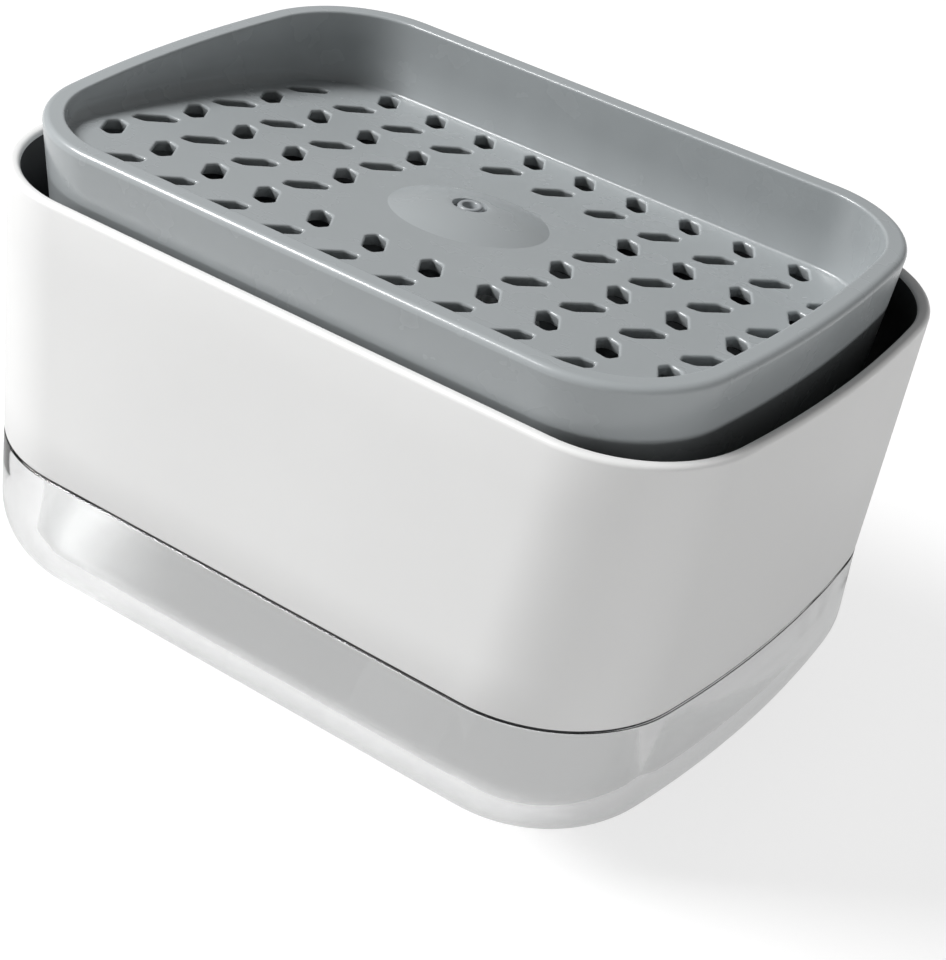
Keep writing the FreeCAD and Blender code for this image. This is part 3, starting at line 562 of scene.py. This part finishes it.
    def draw_skirt(self, mesh: bmesh.types.BMesh, foot: Loop) -> Loop:
        """Draws the skirt's inside up to the floor's underside.

        Args:
            mesh: The tray's mesh.
            foot: The loop round the skirt's foot.

        Returns:
            The loop where the underside begins.
        """
        low = self.top - self.depth
        inner_foot = self.rim.inset(self.skirt_taper + self.wall)
        loops = [foot, inner_foot.draw(mesh, low), inner_foot.draw(mesh, low + self.support)]
        inside = self.rim.inset(self.wall + self.under_inset)
        loops.append(inside.draw(mesh, self.top))
        self.settle(loops[-1], lambda y: 0.0, self.wall)
        loops.append(inside.inset(self.support).draw(mesh, self.top))
        self.settle(loops[-1], lambda y: 0.0, self.wall)
        skin(mesh, loops)
        return loops[-1]

    def slot_arcs(self, grow: float) -> list[Arc]:
        """Arcs of a long hexagon with rounded corners, grown by an offset."""
        tip = self.slot_length / 2
        side = self.slot_width / 2
        shoulder = tip - self.slot_point
        corners = [Vector(p) for p in ((tip, 0), (shoulder, side), (-shoulder, side),
                                       (-tip, 0), (-shoulder, -side), (shoulder, -side))]
        arcs = []
        for i, corner in enumerate(corners):
            back = (corners[i - 1] - corner).normalized()
            ahead = (corners[(i + 1) % len(corners)] - corner).normalized()
            radius = self.slot_tip_round if i % 3 == 0 else self.slot_side_round
            half = back.angle(ahead) / 2
            middle = corner + (back + ahead).normalized() * radius / math.sin(half)
            mid_way = math.atan2(*reversed(corner - middle))
            sweep = QUARTER - half
            arcs.append(Arc(middle.x, middle.y, radius + grow, mid_way - sweep, mid_way + sweep,
                            self.slot_turns))
        return arcs

    def draw_slot(self, slant: float) -> bpy.types.Mesh:
        """Makes one slot's edge round and walls about the floor's middle.

        Args:
            slant: Turn of the slot in the floor.

        Returns:
            The slot's mesh, in the floor's own frame.
        """
        mesh = bmesh.new()
        loops = [draw_loop(mesh, self.slot_arcs(self.slot_edge + self.support))]
        for sine, cosine in rounded(self.slot_turns):
            arcs = self.slot_arcs(self.slot_edge * (1 - sine))
            loops.append(draw_loop(mesh, arcs, -self.slot_edge * (1 - cosine)))
        loops.append(draw_loop(mesh, self.slot_arcs(0.0), -self.slot_edge - self.support))
        loops.append(draw_loop(mesh, self.slot_arcs(self.slot_flare), -self.wall))
        skin(mesh, loops)
        bmesh.ops.rotate(mesh, verts=mesh.verts, cent=(0, 0, 0), matrix=Matrix.Rotation(slant, 3, "Z"))
        data = bpy.data.meshes.new("slot")
        mesh.to_mesh(data)
        mesh.free()
        return data

    def draw_slots(self, mesh: bmesh.types.BMesh) -> tuple[list[Loop], ...]:
        """Draws all slots.

        Args:
            mesh: The tray's mesh.

        Returns:
            The slots' loops in the floor, and their loops in its underside.
        """
        forms = [self.draw_slot(self.slot_slant), self.draw_slot(-self.slot_slant)]
        per_loop = len(self.slot_arcs(0.0)) * (self.slot_turns + 1)
        tops: list[Loop] = []
        unders: list[Loop] = []
        for row in range(self.rows):
            for column in range(self.columns):
                at_corner = row in (0, self.rows - 1) and column in (0, self.columns - 1)
                at_dome = row in self.dome_rows and column in self.dome_columns
                if at_corner or at_dome:
                    continue
                form = forms[row % 2]
                start = len(mesh.verts)
                mesh.from_mesh(form)
                mesh.verts.ensure_lookup_table()
                added = mesh.verts[start:]
                across = (column - (self.columns - 1) / 2) * self.slot_pitch
                along = (row - (self.rows - 1) / 2) * self.row_pitch
                place = self.floor.place() @ Matrix.Translation((across * MM, along * MM, 0))
                bmesh.ops.transform(mesh, matrix=place, verts=added)
                tops.append(list(added[:per_loop]))
                unders.append(list(added[-per_loop:]))
        for form in forms:
            bpy.data.meshes.remove(form)
        return tops, unders

    def dome_surface(self, x: float, y: float) -> float:
        """Height of the dome's skin over a point, in millimetres."""
        reach = (self.dome_radius ** 2 + self.dome_height ** 2) / (2 * self.dome_height)
        middle = self.floor.place(self.dome_height - reach).translation / MM
        return middle.z + math.sqrt(reach ** 2 - (x - middle.x) ** 2 - (y - middle.y) ** 2)

    def draw_dome(self, mesh: bmesh.types.BMesh) -> tuple[Loop, Loop]:
        """Draws the dome from its foot to the nozzle's hole.

        Args:
            mesh: The tray's mesh.

        Returns:
            The loop round the dome's foot, and the loop at the hole's lower end.
        """
        reach = (self.dome_radius ** 2 + self.dome_height ** 2) / (2 * self.dome_height)
        lean = math.asin(self.dome_radius / reach)
        loops = [circle(mesh, self.dome_radius + self.support, self.floor.place())]
        for share in self.dome_shares:
            radius = reach * math.sin(lean * share)
            above = reach * math.cos(lean * share) - reach + self.dome_height
            loops.append(circle(mesh, radius, self.floor.place(above)))
        for edge in loop_edges(loops[1]):
            edge.smooth = False
        for grow, drop in self.hole_edge:
            loops.append(circle(mesh, self.hole_radius + grow, Matrix()))
            for vert in loops[-1]:
                vert.co.z = (self.dome_surface(vert.co.x / MM, vert.co.y / MM) - drop) * MM
        loops.append(circle(mesh, self.hole_radius, Matrix.Translation((0, 0, self.socket_roof * MM))))
        skin(mesh, loops)
        return loops[0], loops[-1]

    def draw_socket(self, mesh: bmesh.types.BMesh, hole: Loop) -> Loop:
        """Draws the pump head's socket under the floor.

        Args:
            mesh: The tray's mesh.
            hole: The lower loop of the nozzle's hole.

        Returns:
            The loop round the socket in the floor's underside.
        """
        soft = self.boss_soft
        profile = [
            (self.socket_radius, self.socket_roof), (self.socket_radius, self.boss_foot + soft),
            (self.socket_radius + soft, self.boss_foot), (self.boss_radius - soft, self.boss_foot),
            (self.boss_radius, self.boss_foot + soft), (self.boss_radius, self.socket_roof),
        ]
        loops = [hole]
        for radius, height in profile:
            loops.append(circle(mesh, radius, Matrix.Translation((0, 0, height * MM))))
        self.settle(loops[-1], lambda y: 0.0, self.wall)
        skin(mesh, loops)
        return loops[-1]


@dataclass
class OutletNozzle:
    """Ring and tube that the soap comes out of, in the dome's top."""

    foot: float = 77.5
    ring_radius: float = 3.08
    ring_top: float = 80.0
    tube_radius: float = 2.2
    bore_radius: float = 1.3
    top: float = 81.0
    soft: float = 0.2
    sides: int = 48

    def build(self) -> list[bpy.types.Object]:
        """Makes the nozzle, dressed and riding on the tray.

        Returns:
            The nozzle.
        """
        mesh = bmesh.new()
        profile = [
            (self.bore_radius, self.foot), (self.ring_radius, self.foot),
            (self.ring_radius, self.ring_top - self.soft), (self.ring_radius - self.soft, self.ring_top),
            (self.tube_radius, self.ring_top), (self.tube_radius, self.top - self.soft),
            (self.tube_radius - self.soft, self.top), (self.bore_radius + self.soft, self.top),
            (self.bore_radius, self.top - self.soft),
        ]
        verts = [mesh.verts.new((radius * MM, 0, height * MM)) for radius, height in profile]
        edges = [mesh.edges.new(pair) for pair in zip(verts, [*verts[1:], verts[0]])]
        bmesh.ops.spin(mesh, geom=[*verts, *edges], cent=(0, 0, 0), axis=(0, 0, 1), angle=FULL,
                       steps=self.sides, use_merge=True)
        piece = finish_mesh(mesh, "outlet_nozzle_ring", sharp=50.0)
        piece.data.materials.append(NOZZLE_GREY.build())
        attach(piece, Body.TRAY.value)
        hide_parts("outlet_nozzle")
        return [piece]


@dataclass
class Sleeve:
    """White sleeve between the tank and the tray, open above and below."""

    rim: Outline = Outline(151.0, 100.0, 24.0, 240.0)
    foot: Outline = SEAM_LINE
    top: float = 77.5
    base: float = 27.5
    wall: float = 2.2
    rim_round: float = 0.9
    rim_turns: int = 6
    foot_round: float = 0.25
    foot_turns: int = 3
    bands: int = 6

    def at(self, height: float) -> Outline:
        """The outer outline at a height."""
        return self.foot.toward(self.rim, (height - self.base) / (self.top - self.base))

    def build(self) -> list[bpy.types.Object]:
        """Makes the sleeve, dressed and riding on its body.

        Returns:
            The sleeve.
        """
        mesh = bmesh.new()
        loops = []
        for sine, cosine in rounded(self.foot_turns):
            loops.append(self.at(self.base).inset(self.foot_round * (1 - sine)).draw(
                mesh, self.base + self.foot_round * (1 - cosine)))
        rise = self.top - self.rim_round - self.base - self.foot_round
        for band in range(1, self.bands):
            height = self.base + self.foot_round + rise * band / self.bands
            loops.append(self.at(height).draw(mesh, height))
        for sine, cosine in rounded(self.rim_turns):
            height = self.top - self.rim_round * (1 - sine)
            loops.append(self.at(height).inset(self.rim_round * (1 - cosine)).draw(mesh, height))
        for sine, cosine in rounded(self.rim_turns):
            height = self.top - self.rim_round * (1 - cosine)
            loops.append(self.at(height).inset(self.wall - self.rim_round * (1 - sine)).draw(mesh, height))
        for band in range(self.bands - 1, 0, -1):
            height = self.base + rise * band / self.bands
            loops.append(self.at(height).inset(self.wall).draw(mesh, height))
        loops.append(self.at(self.base).inset(self.wall).draw(mesh, self.base))
        skin(mesh, [*loops, loops[0]])
        # Faces of the inner wall take the second material, the near-black painted shade of the gap.
        inside = {corner for loop in loops[-self.bands - 1:] for corner in loop}
        for face in mesh.faces:
            face.material_index = int(inside.issuperset(face.verts))
        piece = finish_mesh(mesh, "sleeve_shell", sharp=40.0)
        piece.data.materials.append(SLEEVE_WHITE.build())
        piece.data.materials.append(SLEEVE_INSIDE_PAINTED_SHADE.build())
        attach(piece, Body.UPPER.value)
        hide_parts("housing")
        return [piece]


@dataclass
class ClearTank:
    """Clear thick-walled tank with a large bottom round and a neck inside the sleeve."""

    foot: Outline = SEAM_LINE
    shoulder: float = 27.0
    mouth: float = 45.0
    neck_inset: float = 3.825
    side_wall: float = 6.0
    floor: float = 3.0
    bottom_round: float = 14.0
    inner_round: float = 10.0
    soft: float = 0.35
    soft_turns: int = 3
    turns: int = 14
    flat_step: float = 1.0

    def build(self) -> list[bpy.types.Object]:
        """Makes the tank, dressed and standing on its base.

        Returns:
            The tank.
        """
        mesh = bmesh.new()
        outside = self.draw_outside(mesh)
        inside = self.draw_inside(mesh)
        skin(mesh, [*outside, *inside])
        bmesh.ops.contextual_create(mesh, geom=loop_edges(outside[0]))
        bmesh.ops.contextual_create(mesh, geom=loop_edges(inside[-1]))
        piece = finish_mesh(mesh, "tank_shell", sharp=40.0)
        piece.data.materials.append(TANK_CLEAR.build())
        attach(piece, Body.BASE.value)
        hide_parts("tank")
        return [piece]

    def draw_outside(self, mesh: bmesh.types.BMesh) -> list[Loop]:
        """Draws the outside from the flat base up to the mouth."""
        loops = [self.foot.inset(self.bottom_round + self.flat_step).draw(mesh, 0)]
        for sine, cosine in rounded(self.turns):
            height = self.bottom_round * (1 - cosine)
            loops.append(self.foot.inset(self.bottom_round * (1 - sine)).draw(mesh, height))
        for sine, cosine in rounded(self.soft_turns):
            height = self.shoulder - self.soft * (1 - sine)
            loops.append(self.foot.inset(self.soft * (1 - cosine)).draw(mesh, height))
        neck = self.foot.inset(self.neck_inset)
        loops.append(neck.draw(mesh, self.shoulder))
        loops.append(neck.draw(mesh, self.mouth - self.soft))
        loops.append(neck.inset(self.soft).draw(mesh, self.mouth))
        return loops

    def draw_inside(self, mesh: bmesh.types.BMesh) -> list[Loop]:
        """Draws the inside from the mouth down to the inner floor."""
        cavity = self.foot.inset(self.side_wall)
        loops = [cavity.inset(-self.soft).draw(mesh, self.mouth), cavity.draw(mesh, self.mouth - self.soft)]
        for sine, cosine in rounded(self.turns):
            loops.append(cavity.inset(self.inner_round * (1 - cosine)).draw(
                mesh, self.floor + self.inner_round * (1 - sine)))
        loops.append(cavity.inset(self.inner_round + self.flat_step).draw(mesh, self.floor))
        return loops


@dataclass
class PumpSet:
    """Parts of the pump that keep their packed form, and the return spring."""

    coil_radius: float = 5.3
    wire_radius: float = 0.5
    foot: float = 21.6
    top: float = 39.9
    turns: float = 5.5
    steps_a_turn: int = 36
    wire_sides: int = 14
    stroke: float = 8.0
    finishes: dict[str, Finish] = field(default_factory=lambda: {
        # The lid's dark grey is painted shade for the shadowed inside seen through the slots.
        "seam_gasket": SEAM_BLACK, "tank_lid": LID_PAINTED_SHADE, "lid_gasket": SEAL_GREY, "pump_collar": PUMP_WHITE,
        "neck_gasket": SEAL_GREY, "pump_cylinder": PUMP_WHITE, "stem_guide": PUMP_WHITE,
        "ball_cage": PUMP_WHITE, "inlet_ball": VALVE_STEEL, "dip_tube": TUBE_CLEAR,
        "plunger_stem": PUMP_WHITE, "piston": PUMP_WHITE, "piston_seal": SEAL_GREY,
        "plunger_head": PUMP_WHITE, "outlet_valve_seat": SEAL_GREY, "outlet_ball": VALVE_STEEL,
    })

    def build(self) -> list[bpy.types.Object]:
        """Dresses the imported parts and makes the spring.

        Returns:
            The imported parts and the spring.
        """
        made: dict[str, bpy.types.Material] = {}
        dressed = []
        for node, look in self.finishes.items():
            if look.name not in made:
                made[look.name] = look.build()
            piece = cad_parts[node]
            if piece.material_slots:
                piece.material_slots[0].material = made[look.name]
            else:
                piece.data.materials.append(made[look.name])
            dressed.append(piece)
        return [*dressed, self.build_spring()]

    def build_spring(self) -> bpy.types.Object:
        """Winds the return spring as a fixed coil; the real one shortens as the tray is pressed.

        Returns:
            The spring.
        """
        mesh = bmesh.new()
        low = self.foot + self.wire_radius
        rise = self.top - self.wire_radius - low
        steps = round(self.turns * self.steps_a_turn)
        place = Matrix.Translation((self.coil_radius * MM, 0, low * MM)) @ Matrix.Rotation(QUARTER, 4, "X")
        bmesh.ops.create_circle(mesh, cap_ends=True, segments=self.wire_sides,
                                radius=self.wire_radius * MM, matrix=place)
        section = [*mesh.verts, *mesh.edges, *mesh.faces]
        bmesh.ops.spin(mesh, geom=section, cent=(0, 0, 0), axis=(0, 0, 1), dvec=(0, 0, rise * MM / steps),
                       angle=self.turns * FULL, steps=steps)
        piece = finish_mesh(mesh, "return_spring_coil", sharp=60.0)
        piece.data.materials.append(SPRING_STEEL.build())
        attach(piece, Body.UPPER.value)
        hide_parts("return_spring")
        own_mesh(piece)
        return piece


@dataclass(frozen=True)
class Lamp:
    """A square lamp that faces the object: place and side in metres, power in watts."""

    name: str
    place: Triple
    size: float
    power: float
    mirrored: bool = False


@dataclass
class Studio:
    """Camera, soft lamps, pale surroundings and floor.

    The camera's place, lens and sensor are in millimetres, and the other lengths in metres.
    """

    place: Triple = (201.897, -320.374, 259.686)
    right: Triple = (0.805918, 0.577996, 0.128129)
    down: Triple = (0.396607, -0.366416, -0.841690)
    ahead: Triple = (-0.439545, 0.729150, -0.524538)
    lens: float = 91.25
    sensor: float = 36.0
    near: float = 0.01
    far: float = 20.0
    aim: Triple = (0.0, 0.0, 0.05)
    floor_size: float = 4.0
    floor_drop: float = 0.0002
    surround: float = 0.17
    lamps: tuple[Lamp, ...] = (
        Lamp("key_lamp", (-0.81, -0.42, 1.05), 0.50, 23.5, mirrored=True),
        Lamp("fill_lamp", (0.80, -0.06, 0.06), 0.12, 2.1),
        Lamp("front_lamp", (-0.15, -0.90, 0.05), 0.10, 2.05),
        Lamp("back_lamp", (-0.10, 0.95, 0.16), 0.30, 1.8),
    )
    floor_glow: float = 0.74
    mirrored_share: float = 0.66

    def build(self) -> None:
        """Sets up the view, the lamps, the world and the floor."""
        self.set_camera()
        self.set_world()
        for lamp in self.lamps:
            self.add_lamp(lamp)
        self.add_floor()
        bpy.context.scene.view_settings.view_transform = "Standard"

    def set_camera(self) -> None:
        """Stands the camera at the photograph's viewing angle."""
        view = bpy.data.cameras.new("camera")
        view.lens = self.lens
        view.sensor_width = self.sensor
        view.clip_start = self.near
        view.clip_end = self.far
        camera = bpy.data.objects.new("camera", view)
        axes = Matrix((Vector(self.right), -Vector(self.down), -Vector(self.ahead))).transposed()
        camera.matrix_world = Matrix.Translation(Vector(self.place) * MM) @ axes.to_4x4()
        bpy.context.scene.collection.objects.link(camera)
        bpy.context.scene.camera = camera

    def set_world(self) -> None:
        """Even surroundings that light softly and show white behind the floor."""
        world = bpy.data.worlds.new("surround")
        world.use_nodes = True
        tree = world.node_tree
        soft = tree.nodes["Background"]
        soft.inputs["Color"].default_value = (1, 1, 1, 1)
        soft.inputs["Strength"].default_value = self.surround
        white = tree.nodes.new("ShaderNodeBackground")
        white.inputs["Color"].default_value = (1, 1, 1, 1)
        white.inputs["Strength"].default_value = 1.0
        path = tree.nodes.new("ShaderNodeLightPath")
        mix = tree.nodes.new("ShaderNodeMixShader")
        tree.links.new(path.outputs["Is Camera Ray"], mix.inputs[0])
        tree.links.new(soft.outputs["Background"], mix.inputs[1])
        tree.links.new(white.outputs["Background"], mix.inputs[2])
        tree.links.new(mix.outputs["Shader"], tree.nodes["World Output"].inputs["Surface"])
        bpy.context.scene.world = world

    def add_lamp(self, lamp: Lamp) -> None:
        """Adds a lamp, turned to the middle of the object."""
        data = bpy.data.lights.new(lamp.name, "AREA")
        data.size = lamp.size
        data.energy = lamp.power
        placed = bpy.data.objects.new(lamp.name, data)
        placed.visible_glossy = placed.visible_transmission = lamp.mirrored
        placed.location = lamp.place
        placed.rotation_mode = "QUATERNION"
        placed.rotation_quaternion = (Vector(self.aim) - Vector(lamp.place)).to_track_quat("-Z", "Y")
        bpy.context.scene.collection.objects.link(placed)

    def add_floor(self) -> None:
        """Lays a plain pale floor under the object."""
        mesh = bmesh.new()
        bmesh.ops.create_grid(mesh, x_segments=1, y_segments=1, size=self.floor_size / 2,
                              matrix=Matrix.Translation((0, 0, -self.floor_drop)))
        data = bpy.data.meshes.new("floor")
        mesh.to_mesh(data)
        mesh.free()
        floor = bpy.data.objects.new("floor", data)
        bpy.context.scene.collection.objects.link(floor)
        paint = FLOOR_PALE.build()
        self.lighten(paint)
        data.materials.append(paint)

    def lighten(self, paint: bpy.types.Material) -> None:
        """Makes the floor look pale to the eye, in gloss and through clear walls, without lighting more.

        Args:
            paint: The floor's material.
        """
        tree = paint.node_tree
        path = tree.nodes.new("ShaderNodeLightPath")
        seen = path.outputs["Is Camera Ray"]
        for kind in ("Is Glossy Ray", "Is Transmission Ray"):
            dimmed = tree.nodes.new("ShaderNodeMath")
            dimmed.operation = "MULTIPLY"
            dimmed.inputs[1].default_value = self.mirrored_share
            tree.links.new(path.outputs[kind], dimmed.inputs[0])
            either = tree.nodes.new("ShaderNodeMath")
            either.operation = "MAXIMUM"
            tree.links.new(seen, either.inputs[0])
            tree.links.new(dimmed.outputs[0], either.inputs[1])
            seen = either.outputs[0]
        level = tree.nodes.new("ShaderNodeMath")
        level.operation = "MULTIPLY"
        level.inputs[1].default_value = self.floor_glow
        tree.links.new(seen, level.inputs[0])
        glow = tree.nodes.new("ShaderNodeEmission")
        tree.links.new(level.outputs[0], glow.inputs["Strength"])
        both = tree.nodes.new("ShaderNodeAddShader")
        tree.links.new(tree.nodes["Principled BSDF"].outputs["BSDF"], both.inputs[0])
        tree.links.new(glow.outputs["Emission"], both.inputs[1])
        tree.links.new(both.outputs["Shader"], tree.nodes["Material Output"].inputs["Surface"])


def main() -> None:
    """Builds the caddy and its studio."""
    logging.basicConfig(level=logging.INFO, format="%(message)s")
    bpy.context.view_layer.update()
    for part in (SpongeTray(), OutletNozzle(), Sleeve(), ClearTank(), PumpSet()):
        for piece in part.build():
            LOG.info("%s: %s, %d faces", type(part).__name__, piece.name, len(piece.data.polygons))
    Studio().build()


if __name__ == "__main__":
    main()
